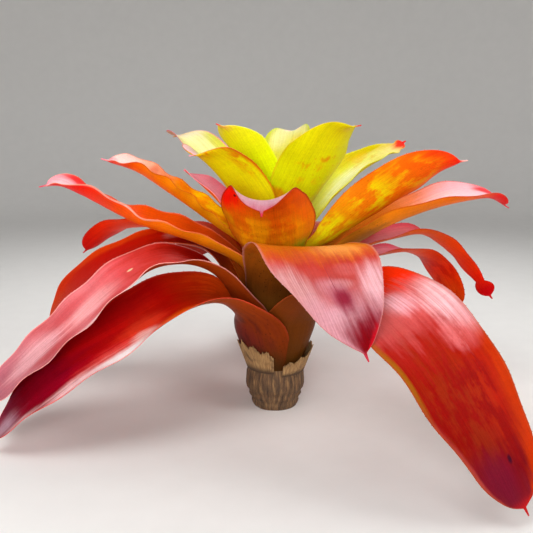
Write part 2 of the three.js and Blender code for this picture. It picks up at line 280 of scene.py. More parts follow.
def blade_half_width(leaf, u, blade_length):
    fullness, sharpness = leaf["ends"]
    spine = SPINE_LENGTH / blade_length
    body = blend(leaf["waist"], 1, ease(u, *WAIST_CHANGE)) * (1 - NARROWING * ease(u, *NARROWING_CHANGE))
    q = np.clip((u - (1 - leaf["taper"])) / (leaf["taper"] - TAPER_END * spine), 0, 1)
    tip = np.maximum(0, 1 - q**fullness) ** sharpness
    end = blend(SPINE_POINT, SPINE_HALF_WIDTH, np.clip((1 - u) / spine, 0, 1))
    offset = (1 - u) * blade_length - leaf["knob"] - KNOB_END * SPINE_LENGTH
    knob = np.sqrt(np.maximum(0, leaf["knob"] ** 2 - offset**2))
    return np.maximum(np.maximum(leaf["width"] / 2 * body * tip, end), knob)


def leaf_surface(leaf, rank):
    """The middle surface of a leaf: points by row and column, blade shares, distances and half widths."""
    sheath = leaf.get("sheath", root_of(rank)[3])
    clasp = [sheath_point(rank, leaf["azimuth"], sheath * i / 3) for i in range(4)]
    midrib = Midrib(clasp + [point(*p) for p in leaf["path"]])
    blade_length = midrib.length - sheath
    x = np.linspace(0, 1, BLADE_ROWS)
    distance = np.concatenate([np.linspace(0, sheath, SHEATH_ROWS, endpoint=False),
                               sheath + blade_length * 0.5 * (x + np.sin(math.pi / 2 * x))])
    u = (distance - sheath) / blade_length
    v = distance / sheath
    centre = midrib.at(distance)
    radius = np.linalg.norm(centre[:, :2], axis=1)
    tangent = unit(midrib.course(distance, TANGENT_REACH))
    outward = unit(centre * [1, 1, 0])
    course = unit(midrib.course(distance, HEADING_REACH) * [1, 1, 0])
    facing = ease(v, *FACING_CHANGE)[:, None]
    heading = unit(blend(outward, course, facing))
    side = np.stack([heading[:, 1], -heading[:, 0], 0 * v], -1)
    side = unit(side - tangent * (side * tangent).sum(1, keepdims=True))
    up = np.cross(side, tangent)
    roll = (np.radians(along(leaf["roll"], u)) * ease(u, *ROLL_CHANGE))[:, None]
    across = side * np.cos(roll) + up * np.sin(roll)
    over = up * np.cos(roll) - side * np.sin(roll)
    normal = unit(blend(-heading, over, facing))
    clasp_half = np.minimum(SHEATH_HALF_WIDTH, math.radians(SHEATH_WRAP) * radius)
    half = blend(clasp_half, blade_half_width(leaf, u, blade_length), ease(v, *WIDTH_CHANGE))
    cup = np.radians(along(leaf["cup"], u))
    angle = blend(half / radius, cup, ease(v, *CHANNEL_CHANGE))
    t = np.linspace(-1, 1, LEAF_COLUMNS + 1)
    bend = (half / angle)[:, None]
    a = angle[:, None] * t
    grid = (centre[:, None] + across[:, None] * (bend * np.sin(a))[..., None]
            + normal[:, None] * (bend * (1 - np.cos(a)))[..., None])
    return grid, u, t, distance, half


def grid_normals(grid):
    return unit(np.cross(np.gradient(grid, axis=1), np.gradient(grid, axis=0)))


def waved(grid, u, t, distance, seed, look):
    """The grid with margins that rise and fall a little, and low folds across the blade."""
    wave_height, wave_length = look["wave"]
    turns = 2 * math.pi * distance
    window = ease(u, *WAVE_START) * (1 - ease(u, *WAVE_END))
    rise = np.zeros(grid.shape[:2])
    for margin in (-1, 1):
        near = np.clip(t * margin, 0, 1) ** 3
        rise += (window * np.sin(turns / wave_length + (seed * 1.7 + margin)))[:, None] * near * wave_height
    bow = 0.6 * np.sin(3 * t + seed) + 0.9 * np.cos(2 * t)
    first, second = (turns[:, None] / length for length in FOLD_LENGTHS)
    folds = np.sin(first + bow) + SECOND_FOLD * np.sin(second - 2 * bow)
    rise += window[:, None] * folds * (1 - t * t) * look["fold"]
    return grid + grid_normals(grid) * rise[..., None]


def sheet_mesh(grid, thickness):
    """The vertices and faces of a closed sheet round a grid, with the top's vertices first."""
    rows, columns = grid.shape[:2]
    push = grid_normals(grid) * np.broadcast_to(thickness, (rows, columns))[..., None] / 2
    vertices = np.vstack([(grid + push).reshape(-1, 3), (grid - push).reshape(-1, 3)])
    index = np.arange(rows * columns).reshape(rows, columns)
    a, b, c, d = index[:-1, :-1], index[:-1, 1:], index[1:, 1:], index[1:, :-1]
    low = rows * columns
    faces = [np.stack([a, b, c, d], -1).reshape(-1, 4), low + np.stack([a, d, c, b], -1).reshape(-1, 4)]
    rim = np.concatenate([index[0, ::-1], index[1:, 0], index[-1, 1:], index[-2:0:-1, -1]])
    after = np.roll(rim, -1)
    faces.append(np.stack([rim, after, low + after, low + rim], -1))
    return vertices, np.vstack(faces)


def sheet_fields(u, t, distance, width, seed=0):
    """What the materials read at the vertices of a sheet: the place (share of the length, place across, 1 on
    top) and the measure (millimetres along and across, and a seed)."""
    values = np.broadcast_arrays(u[:, None], t, distance[:, None], width)
    u, t, distance, width = (np.ravel(x) for x in values)
    place = np.vstack([np.column_stack([u, t, np.full(len(u), top)]) for top in (1.0, 0.0)])
    measure = np.vstack([np.column_stack([distance, width, np.full(len(u), float(seed))])] * 2)
    return place, measure


def add_teeth(vertices, faces, grid, distance, sheath):
    """Small forward teeth along both margins of the blade. Also lists the vertices that they grow from."""
    normals = grid_normals(grid)
    last = grid.shape[1] - 1
    extra, new_faces, parents = [], [], []
    for column, inner, turn in ((0, 1, 1), (last, last - 1, -1)):
        margin = grid[:, column]
        outward = unit(margin - grid[:, inner])
        ahead = unit(np.gradient(margin, axis=0))
        at = sheath + TOOTH_SPACING / 2
        while at < distance[-1] - TOOTHLESS_END:
            row = int(np.searchsorted(distance, at))
            base = margin[row] - outward[row] * TOOTH_DEPTH
            length = ahead[row] * TOOTH_HALF_LENGTH
            thickness = normals[row, column] * TOOTH_HALF_THICKNESS
            tip = margin[row] + outward[row] * TOOTH_REACH + ahead[row] * TOOTH_LEAN
            k = len(vertices) + len(extra)
            extra += [base - length, base + thickness, base + length, base - thickness, tip]
            new_faces += [[k + i, k + (i + 1) % 4, k + 4][::turn] for i in range(4)]
            new_faces.append([k, k + 3, k + 2, k + 1][::turn])
            parents += [row * grid.shape[1] + column] * 5
            at += TOOTH_SPACING
    return np.vstack([vertices, extra]), [list(f) for f in faces] + new_faces, parents


def lathe(profile, sides, relief=lambda angle, height: 0):
    """A profile of radii and heights turned round Z, with faces outwards. The relief adds to the radius."""
    vertices, rows = [], []
    for radius, height in profile:
        count = sides if radius else 1
        rows.append(range(len(vertices), len(vertices) + count))
        for k in range(count):
            a = 2 * math.pi * k / sides
            r = radius + relief(a, height) if radius else 0
            vertices.append((r * math.cos(a), r * math.sin(a), height))
    faces = []
    for low, high in zip(rows, rows[1:]):
        for k in range(sides):
            n = (k + 1) % sides
            corners = low[k % len(low)], low[n % len(low)], high[n % len(high)], high[k % len(high)]
            faces.append(list(dict.fromkeys(corners)))
    return vertices, faces


def make_object(name, vertices, faces, attributes, material, smooth_angle=50):
    mesh = bpy.data.meshes.new(name)
    mesh.from_pydata((np.asarray(vertices) * MM).tolist(), [], [list(map(int, f)) for f in faces])
    for key, values in attributes.items():
        layer = mesh.attributes.new(key, "FLOAT_VECTOR", "POINT")
        layer.data.foreach_set("vector", np.asarray(values, np.float32).ravel())
    mesh.polygons.foreach_set("use_smooth", [True] * len(mesh.polygons))
    mesh.set_sharp_from_angle(angle=math.radians(smooth_angle))
    mesh.materials.append(material)
    obj = bpy.data.objects.new(name, mesh)
    scene.collection.objects.link(obj)
    return obj


def rgb(code):
    """The linear colour of a code such as 0xc8201a."""
    parts = [(code >> shift & 255) / 255 for shift in (16, 8, 0)]
    return tuple(c / 12.92 if c <= 0.04045 else ((c + 0.055) / 1.055) ** 2.4 for c in parts) + (1.0,)


class Graph:
    """A material's nodes, built from values and sockets."""

    def __init__(self, name):
        self.material = bpy.data.materials.new(name)
        self.material.use_nodes = True
        self.tree = self.material.node_tree
        self.tree.nodes.clear()

    def node(self, kind, inputs, **properties):
        made = self.tree.nodes.new("ShaderNode" + kind)
        for key, value in properties.items():
            setattr(made, key, value)
        for key, value in inputs.items():
            if isinstance(value, bpy.types.NodeSocket):
                self.tree.links.new(value, made.inputs[key])
            else:
                made.inputs[key].default_value = value
        return made

    def math(self, operation, *values):
        return self.node("Math", dict(enumerate(values)), operation=operation).outputs[0]

    def times(self, a, b):
        return self.math("MULTIPLY", a, b)

    def total(self, base, *terms):
        """A base plus values times their weights."""
        for value, weight in terms:
            base = self.math("ADD", base, self.times(value, weight))
        return base

    def radius(self, x, y):
        return self.math("SQRT", self.math("ADD", self.times(x, x), self.times(y, y)))

    def step(self, x, low, high):
        """Rises smoothly from 0 at low to 1 at high, which may be the smaller of the two."""
        inputs = {"Value": x, "From Min": low, "From Max": high}
        return self.node("MapRange", inputs, interpolation_type="SMOOTHSTEP").outputs[0]

    def mix(self, factor, a, b, blend_type="MIX"):
        return self.node("Mix", {0: factor, 6: a, 7: b}, data_type="RGBA", blend_type=blend_type).outputs[2]

    def ramp(self, x, stops):
        made = self.node("ValToRGB", {"Fac": x})
        elements = made.color_ramp.elements
        while len(elements) < len(stops):
            elements.new(0.5)
        for element, (at, colour) in zip(elements, stops.items()):
            element.position = at
            element.color = rgb(colour)
        return made.outputs[0]

    def vector(self, x, y, z):
        return self.node("CombineXYZ", {0: x, 1: y, 2: z}).outputs[0]

    def split(self, vector):
        return self.node("SeparateXYZ", {0: vector}).outputs

    def stretch(self, x, y, x_scale, y_scale, seed):
        """A place for a noise, scaled on its own in each direction."""
        return self.vector(self.times(x, x_scale), self.times(y, y_scale), seed)

    def attribute(self, name):
        return self.node("Attribute", {}, attribute_name=name).outputs["Vector"]

    def noise(self, vector, detail, roughness=0.5, scale=1.0):
        inputs = {"Vector": vector, "Scale": scale, "Detail": detail, "Roughness": roughness}
        return self.node("TexNoise", inputs).outputs[0]

    def cells(self, vector):
        return self.node("TexVoronoi", {"Vector": vector, "Scale": 1.0}).outputs[0]

    def finish(self, colour, roughness, height, bump, depth, **fixed):
        """The material, with bumps of a strength and a depth in metres."""
        normal = self.node("Bump", {"Strength": bump, "Distance": depth, "Height": height}).outputs[0]
        inputs = {"Base Color": colour, "Roughness": roughness, "Normal": normal}
        inputs.update({key.replace("_", " "): value for key, value in fixed.items()})
        shader = self.node("BsdfPrincipled", inputs).outputs[0]
        self.node("OutputMaterial", {"Surface": shader})
        return self.material


# The noises of a leaf: scale per millimetre along and across it, seed, detail and, where it isn't 0.5,
# roughness. The specks are cells, with the first three alone.
LEAF_NOISES = {
    "broad": (0.012, 0.22, 0, 3),
    "streak": (0.014, 0.9, 2, 4),
    "vein": (0.02, 2.2, 7, 2),
    "blotch": (0.04, 0.085, 3, 7, 0.62),
    "cloud": (0.02, 0.05, 9, 2),
    "grain": (0.55, 0.7, 6, 3),
    "band": (0.2, 0.02, 4, 2),
    "speck": (0.22, 0.3, 5),
}

# How much of each noise goes into the shading of a leaf's colour and into its relief
SHADE_BASE = 0.25
SHADE = dict(streak=0.4, vein=0.26, cloud=0.34, grain=0.34, band=0.16)
RELIEF = dict(streak=0.3, vein=0.6, blotch=0.1)

# How much noise shifts the colours along the blade and frays the patches, and where these fade in
COLOUR_SHIFT = 0.14
PATCH_FRAY = 0.7
PATCH_FADE = (1.15, 0.3)

# What breaks up a kind of patch: a noise, the values over which it fades in, and what stays elsewhere
BREAK_UPS = {
    "streak": ("streak", (0.3, 0.66), 0.6),
    "blotch": ("blotch", (0.44, 0.58), 0),
    "spots": ("speck", (0.2, 0.08), 0),
}

# Where the colours of the sheath, the spine and the margins fade in
SHEATH_FADE = (0.06, -0.28)
SPINE_FADE = (0.955, 0.985)
MARGIN_START = (-0.1, 0.15)
MARGIN_FADE = (0.94, 1.0)
SPINE_STRENGTH = 0.9


def leaf_noises(g, seed):
    run, width, _ = g.split(g.attribute("leaf_mm"))
    noises = {}
    for kind, (lengthwise, crosswise, own_seed, *texture) in LEAF_NOISES.items():
        place = g.stretch(run, width, lengthwise, crosswise, seed + own_seed)
        noises[kind] = g.noise(place, *texture) if texture else g.cells(place)
    return noises


def face_colour(g, place, noises, stops, patches):
    """A face's colours from the blade's root to its tip, with its patches over them."""
    fray = g.math("SUBTRACT", g.math("ADD", noises["broad"], noises["blotch"]), 1.0)
    face = g.ramp(g.total(place[0], (fray, COLOUR_SHIFT)), stops)
    for kind, middle, reach, colour, strength in patches:
        x, y = (g.times(g.math("SUBTRACT", a, b), 1 / size) for a, b, size in zip(place, middle, reach))
        cover = g.step(g.total(g.radius(x, y), (fray, PATCH_FRAY)), *PATCH_FADE)
        if kind in BREAK_UPS:
            noise, limits, least = BREAK_UPS[kind]
            cover = g.times(cover, g.total(least, (g.step(noises[noise], *limits), 1 - least)))
        face = g.mix(g.times(cover, strength), face, rgb(colour))
    return face


def leaf_material(name, look, seed):
    """A leaf's two faces, and over them the colours of its sheath, margins and spine, shaded by noise."""
    g = Graph(name)
    u, t, side = g.split(g.attribute("leaf_place"))
    noises = leaf_noises(g, seed)
    under = face_colour(g, (u, t), noises, look["under"], look["under_patches"])
    top = face_colour(g, (u, t), noises, look["top"], look["top_patches"])
    colour = g.mix(side, under, top)
    colour = g.mix(g.step(u, *SHEATH_FADE), colour, rgb(look["root"]))
    margin = g.times(g.step(g.math("ABSOLUTE", t), *MARGIN_FADE), g.step(u, *MARGIN_START))
    colour = g.mix(g.times(margin, look["edge_strength"]), colour, rgb(look["edge"]))
    colour = g.mix(g.times(g.step(u, *SPINE_FADE), SPINE_STRENGTH), colour, rgb(look["tip"]))
    shade = g.total(SHADE_BASE, *((noises[kind], weight) for kind, weight in SHADE.items()))
    colour = g.mix(1.0, colour, g.vector(shade, shade, shade), "MULTIPLY")
    relief = g.total(0.0, *((noises[kind], weight) for kind, weight in RELIEF.items()))
    roughness = g.total(0.3, (noises["streak"], 0.16), (side, -0.06))
    return g.finish(colour, roughness, relief, bump=0.4, depth=0.0005, Subsurface_Weight=0.12,
                    Subsurface_Scale=0.004, Specular_IOR_Level=0.02)


def stub_material():
    """A dry torn leaf base: tan, fibrous, stained, and dark at the foot."""
    g = Graph("dry_stub_fibre")
    u, _, _ = g.split(g.attribute("leaf_place"))
    run, width, seed = g.split(g.attribute("leaf_mm"))
    fibre = g.noise(g.stretch(run, width, 0.05, 1.6, seed), 5, 0.65)
    stain = g.noise(g.stretch(run, width, 0.09, 0.09, seed), 4)
    colour = g.ramp(fibre, {0.25: 0x4a2f18, 0.45: 0x8a6438, 0.6: 0xb08a58, 0.8: 0xcbb083})
    colour = g.mix(g.step(stain, 0.5, 0.75), colour, rgb(0x5a3a1e))
    colour = g.mix(g.step(u, 0.35, 0.0), colour, rgb(0x3e2814))
    return g.finish(colour, g.total(0.7, (fibre, 0.2)), fibre, bump=0.8, depth=0.0012)


def stem_material():
    """Fibrous bark with dark specks, and a cut face of pale fibre ends inside a brown rind."""
    g = Graph("stem_bark")
    place = g.node("TexCoord", {}).outputs["Object"]
    x, y, z = g.split(place)
    specks = g.noise(place, 6, 0.65, scale=260)
    fibre = g.noise(g.stretch(g.math("ARCTAN2", y, x), z, 9, 60, 0), 5, 0.6)
    bark = g.ramp(fibre, {0.3: 0x2c1c10, 0.5: 0x5a3f26, 0.68: 0x84623c, 0.85: 0xa08358})
    bark = g.mix(g.times(g.step(specks, 0.55, 0.72), 0.6), bark, rgb(0x30200f))
    fibre_ends = g.noise(g.stretch(x, y, 900, 900, 0), 2)
    cut = g.ramp(fibre_ends, {0.35: 0x6a4a26, 0.55: 0xc2a676, 0.8: 0xdcc79c})
    rind = g.step(g.radius(x, y), (STEM_FOOT_RADIUS - 4.5) * MM, (STEM_FOOT_RADIUS - 1.5) * MM)
    cut = g.mix(rind, cut, rgb(0x5a3c20))
    at_cut = g.step(z, 0.6 * MM, 0.2 * MM)
    return g.finish(g.mix(at_cut, bark, cut), 0.82, g.total(specks, (fibre, 0.8)), bump=0.8, depth=0.0012)


def floor_material():
    g = Graph("studio_floor")
    paper = g.noise(g.node("TexCoord", {}).outputs["Object"], 3, scale=40)
    grey = g.ramp(paper, {0: 0xe4e2df, 1: 0xeae8e5})
    return g.finish(grey, 0.9, paper, bump=0.02, depth=0.0005)


# The colours of each leaf: top and under by the share of the blade, and root, tip and edge for
# the sheath, the spine and the margins. wave is the height and length of the margins' waves, fold the height
# of the folds. A patch has a kind, a middle (share of the blade, place across it from -1 to 1), its reach
# both ways, a colour and a strength. -1 is the right margin of a leaf that comes forward.
# Some pale pink, white and cream colours on the top faces, each marked below, are painted sheen: partly the
# waxy bloom of the leaves, partly painted highlight.
LOOK_DEFAULTS = dict(tip=0xb01818, edge=0x9c2010, edge_strength=0.6, wave=(WAVE_HEIGHT, WAVE_LENGTH),
                     fold=FOLD_HEIGHT, top_patches=[], under_patches=[])
LOOKS = {
    "outer_leaf_01": dict(root=0x38200c, edge=0xe04838, wave=(1.4, 60), fold=0.12, top={
        0: 0xe85c10, 0.12: 0xd8480c, 0.2: 0xb42404, 0.3: 0xb00c04, 0.38: 0xc41c0c, 0.47: 0xc8100c,
        0.57: 0xb00810, 0.7: 0x8c041c, 0.82: 0x7c0418, 0.92: 0x782438, 1: 0x904450,
    }, top_patches=[
        ("soft", (0.28, -0.8), (0.18, 0.4), 0xe8600c, 0.9),
        ("soft", (0.4, -0.15), (0.1, 0.35), 0xe83c20, 0.85),
        ("soft", (0.48, 0.65), (0.24, 0.45), 0xa00408, 0.8),
        ("streak", (0.5, -0.7), (0.2, 0.5), 0xec6058, 0.8),
        # The pale pink and white patches on the next four lines are painted sheen along the right margin:
        # partly the waxy bloom of the leaf, partly painted highlight.
        ("streak", (0.41, -0.55), (0.06, 0.3), 0xf8c0b8, 0.9),
        ("soft", (0.52, -0.92), (0.17, 0.4), 0xfff0ee, 1),
        ("streak", (0.66, -0.9), (0.14, 0.4), 0xfcc4c4, 0.95),
        ("streak", (0.87, -0.8), (0.1, 0.3), 0xd8a4a4, 0.8),
        ("soft", (0.93, -0.1), (0.07, 0.8), 0xa88490, 0.8),
    ], under={
        0: 0x843008, 0.3: 0xa84408, 0.6: 0xa83010, 1: 0xc4101c,
    }, under_patches=[
        ("soft", (-0.12, 0.3), (0.14, 1), 0x6c1c20, 0.9),
        ("soft", (-0.22, -0.3), (0.12, 1.2), 0x40300c, 0.8),
        ("blotch", (-0.05, 0.2), (0.2, 1.2), 0x481018, 0.6),
        ("spots", (0, 0), (0.5, 1.2), 0x2c1006, 0.9),
    ]),
    "outer_leaf_02": dict(root=0x3c280c, edge=0xa04820, wave=(1.2, 60), top={
        # The pinker stops at 0.39 and 0.47 are a band of painted sheen across the blade: partly the waxy
        # bloom of the leaf, partly painted highlight.
        0: 0xa42c08, 0.2: 0xd42404, 0.33: 0xe42808, 0.39: 0xcc5450, 0.47: 0xbc4a48, 0.56: 0xa01c14,
        0.66: 0x8c0a04, 0.8: 0x840804, 0.9: 0x700810, 1: 0x741824,
    }, top_patches=[
        # The pale pink patches on the next four lines are painted sheen, like the band above.
        ("soft", (0.56, -0.6), (0.06, 0.4), 0xd46c6c, 0.8),
        ("streak", (0.41, -0.1), (0.055, 0.4), 0xe0a4ac, 0.95),
        ("streak", (0.45, -0.8), (0.1, 0.45), 0xe8b0b4, 1),
        ("streak", (0.53, -0.95), (0.06, 0.25), 0xdca0a4, 0.9),
        ("streak", (0.46, 0.35), (0.08, 0.4), 0xb44c48, 0.7),
        ("soft", (0.8, -0.95), (0.3, 0.35), 0xb02c02, 1),
        ("blotch", (0.68, -0.45), (0.2, 0.5), 0xa81c04, 0.7),
        ("blotch", (0.72, 0.3), (0.25, 0.9), 0x902c0a, 0.5),
        ("soft", (0.91, 0.4), (0.09, 0.75), 0x6c1028, 0.8),
        ("soft", (0.6, 0.98), (0.14, 0.14), 0x94580c, 0.9),
        ("soft", (0.85, 0.98), (0.15, 0.12), 0xa84038, 0.7),
        ("soft", (0.875, -0.22), (0.013, 0.07), 0x34061c, 0.9),
    ], under={
        0: 0x6c340c, 0.5: 0x94280f, 1: 0x701c20,
    }),
    "outer_leaf_03": dict(root=0x54380e, top={
        0: 0xb03c0c, 0.4: 0xb82c10, 0.8: 0xa81c10, 1: 0x8c1020,
    }, top_patches=[
        ("streak", (0.42, 0.2), (0.14, 0.8), 0xdc9488, 0.6),
    ], under={
        0: 0x804010, 0.5: 0xa83c10, 1: 0x901810,
    }),
    "outer_leaf_04": dict(root=0x64440e, tip=0xb03c0c, edge=0xb83010, top={
        0: 0xa83810, 0.3: 0xb83438, 0.5: 0xc84054, 1: 0x982424,
    }, top_patches=[
        ("streak", (0.45, -0.3), (0.14, 0.6), 0xd8707c, 0.6),
    ], under={
        0: 0x80400c, 0.5: 0xd84404, 0.75: 0xd82402, 0.92: 0xd44404, 1: 0xb0300a,
    }, under_patches=[
        ("blotch", (0.78, 0), (0.25, 1.5), 0xb81002, 0.7),
    ]),
    # The pale pink edge of this leaf is a painted highlight along its margins.
    "outer_leaf_05": dict(root=0x64380f, edge=0xf8b0a8, wave=(1.6, 44), top={
        0: 0x780c10, 0.15: 0xa81408, 0.27: 0xc82818, 0.35: 0xcc3830, 0.43: 0xd85254, 0.55: 0xdc7478,
        0.64: 0xd4686c, 0.72: 0xc05458, 0.82: 0xc87078, 1: 0xa45868,
    }, top_patches=[
        ("soft", (0.2, 0.7), (0.12, 0.4), 0x900c04, 0.8),
        # The pale pink and white streaks on the next three lines are painted sheen: partly the waxy bloom of
        # the leaf, partly painted highlight.
        ("streak", (0.56, 0.1), (0.12, 0.5), 0xf0a8a8, 0.9),
        ("streak", (0.78, 0.2), (0.14, 0.6), 0xe8acb0, 0.85),
        ("streak", (0.45, -0.95), (0.25, 0.25), 0xffe0dc, 1),
        ("streak", (0.62, 0.6), (0.12, 0.25), 0xc44448, 0.7),
        ("streak", (0.5, -0.5), (0.1, 0.3), 0xc83430, 0.7),
        ("streak", (0.72, -0.4), (0.12, 0.3), 0xb84448, 0.7),
        ("soft", (0.4, 0.3), (0.012, 0.05), 0xf0dcb0, 0.9),
    ], under={
        0: 0x80340c, 0.15: 0x9c400c, 0.5: 0xa03212, 1: 0xb41418,
    }, under_patches=[
        ("spots", (0, 0), (0.4, 1.2), 0x4c1c08, 0.7),
    ]),
    "outer_leaf_06": dict(root=0x64400e, edge=0xdc5a10, top={
        0: 0xc0500c, 0.16: 0xb03808, 0.3: 0xa01404, 0.4: 0xb81804, 0.6: 0xb40c02, 0.78: 0xb41402,
        0.88: 0xbc2804, 1: 0xc44008,
    }, top_patches=[
        ("soft", (0.6, 0.9), (0.3, 0.25), 0xcc3c04, 0.7),
        ("streak", (0.36, 0.5), (0.04, 0.3), 0xcc8478, 0.7),
    ], under={
        0: 0xa03c0c, 0.5: 0xc83c0c, 1: 0xb0240c,
    }),
    "outer_leaf_07": dict(root=0x69540f, tip=0xc00814, edge=0xa8200c, top={
        0: 0xb83c14, 0.25: 0xc43430, 0.42: 0xd4485c, 0.6: 0xd03c44, 1: 0x9f1015,
    }, top_patches=[
        ("streak", (0.45, -0.3), (0.2, 0.8), 0xd8686c, 0.7),
    ], under={
        0: 0x9b540d, 0.45: 0xd4500a, 0.65: 0xe03c04, 0.85: 0xd81c02, 1: 0xb80208,
    }, under_patches=[
        ("soft", (0.97, 0), (0.06, 1.5), 0xbc0208, 0.9),
    ]),
    "outer_leaf_08": dict(root=0x5c440e, top={
        0: 0xb8440c, 0.4: 0xc03010, 1: 0xa01018,
    }, top_patches=[
        ("streak", (0.48, -0.3), (0.16, 0.8), 0xd88c80, 0.6),
    ], under={
        0: 0x80480c, 0.5: 0xb0400c, 1: 0xa01c14,
    }),
    "outer_leaf_09": dict(root=0x4c380e, tip=0xb83040, edge=0xc88480, edge_strength=0.5, wave=(1.3, 52), top={
        0: 0x8c4418, 0.34: 0xc46410, 0.46: 0xcc6c10, 0.52: 0xc45418, 0.6: 0xb4382c, 0.7: 0xac4846,
        0.82: 0xbc7c84, 0.9: 0xb4727c, 1: 0x8c2030,
    }, top_patches=[
        ("soft", (0.47, -0.4), (0.1, 0.5), 0xe48c34, 0.95),
        # The pale pink streaks from here to the one at 0.83, all but the redder one at 0.62, are painted
        # sheen: partly the waxy bloom of the leaf, partly painted highlight.
        ("streak", (0.69, -0.12), (0.03, 0.35), 0xd09498, 0.5),
        ("streak", (0.7, 0.85), (0.13, 0.5), 0xcc9494, 0.95),
        ("streak", (0.84, 0.7), (0.14, 0.5), 0xc88c94, 0.9),
        ("streak", (0.7, -0.85), (0.14, 0.4), 0xd8a4aa, 1),
        ("streak", (0.62, -0.35), (0.04, 0.3), 0xc06464, 0.5),
        ("streak", (0.7, 0.1), (0.05, 0.4), 0xb87880, 0.7),
        ("streak", (0.83, 0.1), (0.06, 0.6), 0xcc98a0, 0.9),
        ("soft", (0.755, -0.05), (0.07, 0.34), 0x984454, 0.85),
        ("soft", (0.75, -0.06), (0.04, 0.2), 0x841c30, 0.9),
        ("soft", (0.97, -0.5), (0.22, 1.2), 0x7c1428, 1),
        ("soft", (0.97, -0.5), (0.15, 1.1), 0x740008, 1),
        ("soft", (0.93, -0.95), (0.07, 0.3), 0xb40418, 0.9),
        ("soft", (0.68, 0.02), (0.12, 0.01), 0x843038, 0.8),
    ], under={
        0: 0x5c300c, 0.2: 0x84440c, 0.4: 0xb0540c, 1: 0x9c2810,
    }, under_patches=[
        ("spots", (0.1, 0.3), (0.5, 1), 0x181004, 0.8),
    ]),
    "outer_leaf_10": dict(root=0x7f5815, tip=0xbf1317, top={
        0: 0xc8600c, 0.16: 0xb84410, 0.3: 0xbf3f2b, 0.42: 0xcc4438, 0.55: 0xd4380c, 1: 0xb01008,
    }, under={
        0: 0xc45c13, 0.4: 0xe84c06, 0.75: 0xe82c02, 0.9: 0xd01404, 1: 0xbc0c08,
    }),
    "outer_leaf_11": dict(root=0x5c440e, top={
        0: 0xc0540c, 0.4: 0xc8380e, 1: 0xb01c14,
    }, top_patches=[
        ("streak", (0.5, 0.2), (0.14, 0.7), 0xdc9c88, 0.6),
    ], under={
        0: 0x845010, 0.5: 0xb4480e, 1: 0xa42010,
    }),
    "middle_leaf_12": dict(root=0x5d4e11, tip=0xe12d45, edge=0xb73b11, top={
        0: 0xc06b11, 0.44: 0xd87018, 0.58: 0xe4784c, 0.75: 0xf4a4a8, 0.9: 0xf8bdc6, 1: 0xef586b,
    }, top_patches=[
        # The pale pink streak is painted sheen: partly the waxy bloom of the leaf, partly painted highlight.
        ("streak", (0.72, 0.2), (0.2, 1), 0xf8d0d4, 0.8),
        ("soft", (0.9, -0.8), (0.08, 0.3), 0xef1a1f, 0.9),
    ], under={
        0: 0x82610e, 0.25: 0xb76b0c, 0.4: 0xe67e0c, 0.7: 0xf4700c, 0.82: 0xf4450c, 0.88: 0xe61a11,
        1: 0xd8111a,
    }, under_patches=[
        ("spots", (0.3, 0.6), (0.12, 0.5), 0x1a0e06, 1),
        ("soft", (0.24, 0.5), (0.16, 0.6), 0x8c5008, 0.8),
    ]),
    "middle_leaf_13": dict(root=0x8c5a11, tip=0xd34a61, edge=0xf07850, edge_strength=0.7, wave=(1.8, 34),
                           top={
        0: 0xb84410, 0.3: 0xd04808, 0.5: 0xe85808, 0.62: 0xf05018, 0.7: 0xf06858, 0.78: 0xf09090,
        0.84: 0xf8a8ac, 1: 0xf0909c,
    }, top_patches=[
        # The white patch along the near margin and the pale pink streak at the tip are painted sheen: partly
        # the waxy bloom of the leaf, partly painted highlight.
        ("soft", (0.62, -1.0), (0.28, 0.14), 0xfcdcd4, 1),
        ("streak", (0.9, -0.2), (0.09, 0.9), 0xfbd0d2, 0.9),
        ("soft", (0.86, 0.9), (0.07, 0.35), 0xf40c04, 0.9),
    ], under={
        0: 0xd0780e, 0.25: 0xe8840c, 0.5: 0xf0680c, 0.65: 0xf0440c, 0.8: 0xee1a11, 0.9: 0xf02018,
        1: 0xe64a58,
    }, under_patches=[
        # The pale patch along the near margin is painted highlight, like the one on the top.
        ("soft", (0.64, -1.0), (0.26, 0.08), 0xf8c8bc, 0.9),
        ("soft", (0.95, 0), (0.04, 1.2), 0xf49aa4, 0.8),
    ]),
    "middle_leaf_14": dict(root=0x60500c, top={
        0: 0xc8700e, 0.4: 0xd0540e, 0.8: 0xc83818, 1: 0xac1c18,
    }, top_patches=[
        ("streak", (0.58, 0.2), (0.2, 0.8), 0xe4a89c, 0.6),
    ], under={
        0: 0x8c680c, 0.5: 0xc0600c, 1: 0xb83010,
    }),
    "middle_leaf_15": dict(root=0x635913, tip=0xc83048, edge=0x951c0a, edge_strength=0.85, fold=0.22, top={
        0: 0xd79027, 0.4: 0xe88c58, 0.7: 0xe89898, 0.84: 0xd08c96, 0.93: 0xb86474, 1: 0xb43c54,
    }, top_patches=[
        # This pale pink streak, together with the pale pinks of the top from 0.7 on, is painted sheen on the
        # curled-back tip: partly the leaf's own pink, partly painted highlight.
        ("streak", (0.78, 0), (0.14, 1.2), 0xe8c4d0, 0.8),
        ("streak", (0.86, 0.1), (0.1, 0.9), 0xa05c70, 0.7),
    ], under={
        0: 0x8b7c13, 0.13: 0xb8820c, 0.28: 0xdc7a08, 0.45: 0xd86006, 0.62: 0xdc5c08, 0.8: 0xe44a08,
        1: 0xe83c1c,
    }, under_patches=[
        ("soft", (0.68, 0.85), (0.2, 0.45), 0xf41405, 1),
        ("soft", (0.14, -0.75), (0.15, 0.4), 0xa4a413, 0.85),
        ("soft", (0.42, 0.85), (0.1, 0.25), 0xc08408, 0.7),
        ("soft", (0.18, 0.85), (0.2, 0.3), 0xaf3f0e, 0.7),
        ("blotch", (0.35, 0), (0.3, 1), 0xec9c08, 0.9),
        ("blotch", (0.6, -0.4), (0.2, 0.8), 0xc84c0a, 0.7),
